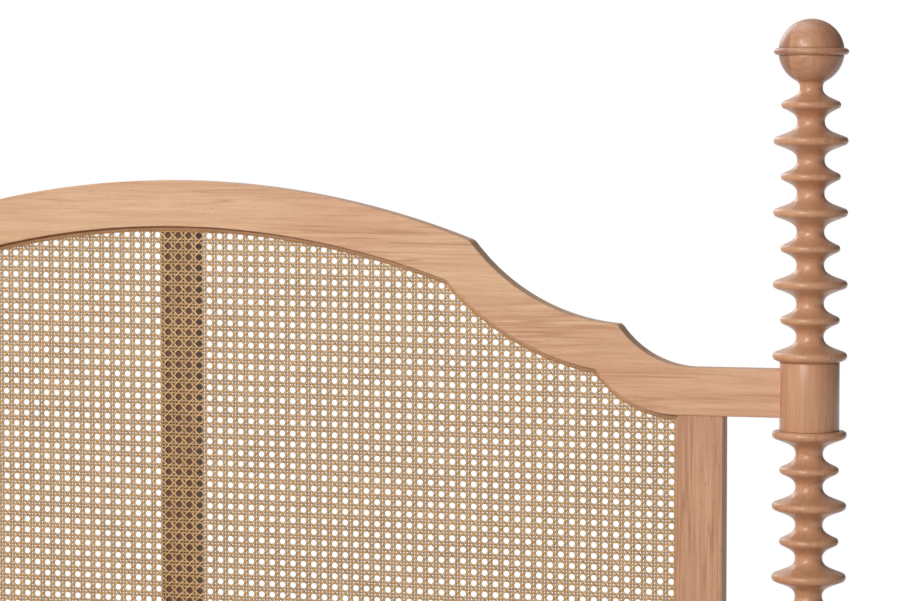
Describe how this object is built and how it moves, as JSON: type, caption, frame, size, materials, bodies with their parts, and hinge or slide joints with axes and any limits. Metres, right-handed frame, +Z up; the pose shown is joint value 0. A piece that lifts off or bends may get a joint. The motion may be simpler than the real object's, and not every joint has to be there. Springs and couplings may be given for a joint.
{
  "type": "four-poster bed",
  "caption": "Poster bed frame with bobbin-turned posts, ball finials, an arched cane headboard, slats and a centre beam on levelling feet.",
  "frame": {"origin": "on the floor, under the middle of the bed", "axes": "+X to the right seen from the foot of the bed, +Y towards the headboard, +Z up"},
  "size_m": [1.6584, 2.1594, 1.4627],
  "materials": {
    "post_wood": "satin clear lacquer over warm brown hardwood, grain along the post",
    "finial_wood": "satin clear lacquer, turned",
    "crest_wood": "satin clear lacquer, grain along the board",
    "cross_rail_wood": "satin clear lacquer, grain along the rail",
    "side_rail_wood": "satin clear lacquer, grain along the rail",
    "stile_wood": "satin clear lacquer, upright grain",
    "frame_wood": "satin clear lacquer",
    "brace_wood": "satin, upright grain",
    "ledger_wood": "plain planed wood",
    "slat_wood": "plain planed softwood",
    "beam_wood": "plain planed softwood",
    "leg_wood": "satin clear lacquer, turned",
    "cane": "natural woven cane, slightly glossy",
    "plate_steel": "zinc plated",
    "bracket_steel": "zinc plated",
    "foot_steel": "zinc plated",
    "insert_brass": "plain",
    "glide_felt": "pressed felt"
  },
  "bodies": {
    "bed_frame": {"foot_post_left": "post_wood", "foot_post_right": "post_wood", "head_post_left": "post_wood", "head_post_right": "post_wood", "post_finials": "finial_wood", "post_glides": "glide_felt", "crest_rail": "crest_wood", "head_lower_rail": "cross_rail_wood", "foot_rail": "cross_rail_wood", "centre_brace": "brace_wood", "cane_panel": "cane", "head_stile_left": "stile_wood", "cane_frame_left": "frame_wood", "side_rail_left": "side_rail_wood", "slat_ledger_left": "ledger_wood", "head_stile_right": "stile_wood", "cane_frame_right": "frame_wood", "side_rail_right": "side_rail_wood", "slat_ledger_right": "ledger_wood", "post_slot_plates": "plate_steel", "rail_hook_plates": "plate_steel", "slat_01": "slat_wood", "slat_02": "slat_wood", "slat_03": "slat_wood", "slat_04": "slat_wood", "slat_05": "slat_wood", "slat_06": "slat_wood", "slat_07": "slat_wood", "slat_08": "slat_wood", "slat_09": "slat_wood", "slat_10": "slat_wood", "slat_11": "slat_wood", "slat_12": "slat_wood", "slat_13": "slat_wood", "slat_14": "slat_wood", "centre_beam": "beam_wood", "beam_bracket_foot": "bracket_steel", "beam_bracket_head": "bracket_steel", "centre_leg_head": "leg_wood", "centre_leg_middle": "leg_wood", "centre_leg_foot": "leg_wood", "leg_inserts": "insert_brass"},
    "levelling_foot_head": {"levelling_foot_head": "foot_steel"},
    "levelling_foot_middle": {"levelling_foot_middle": "foot_steel"},
    "levelling_foot_foot": {"levelling_foot_foot": "foot_steel"}
  },
  "joints": [
    {"name": "levelling_foot_head_slide", "type": "slide", "parent": "bed_frame", "child": "levelling_foot_head", "axis": [0, 0, 1], "range_m": [0, 0.012]},
    {"name": "levelling_foot_middle_slide", "type": "slide", "parent": "bed_frame", "child": "levelling_foot_middle", "axis": [0, 0, 1], "range_m": [0, 0.012]},
    {"name": "levelling_foot_foot_slide", "type": "slide", "parent": "bed_frame", "child": "levelling_foot_foot", "axis": [0, 0, 1], "range_m": [0, 0.012]}
  ]
}
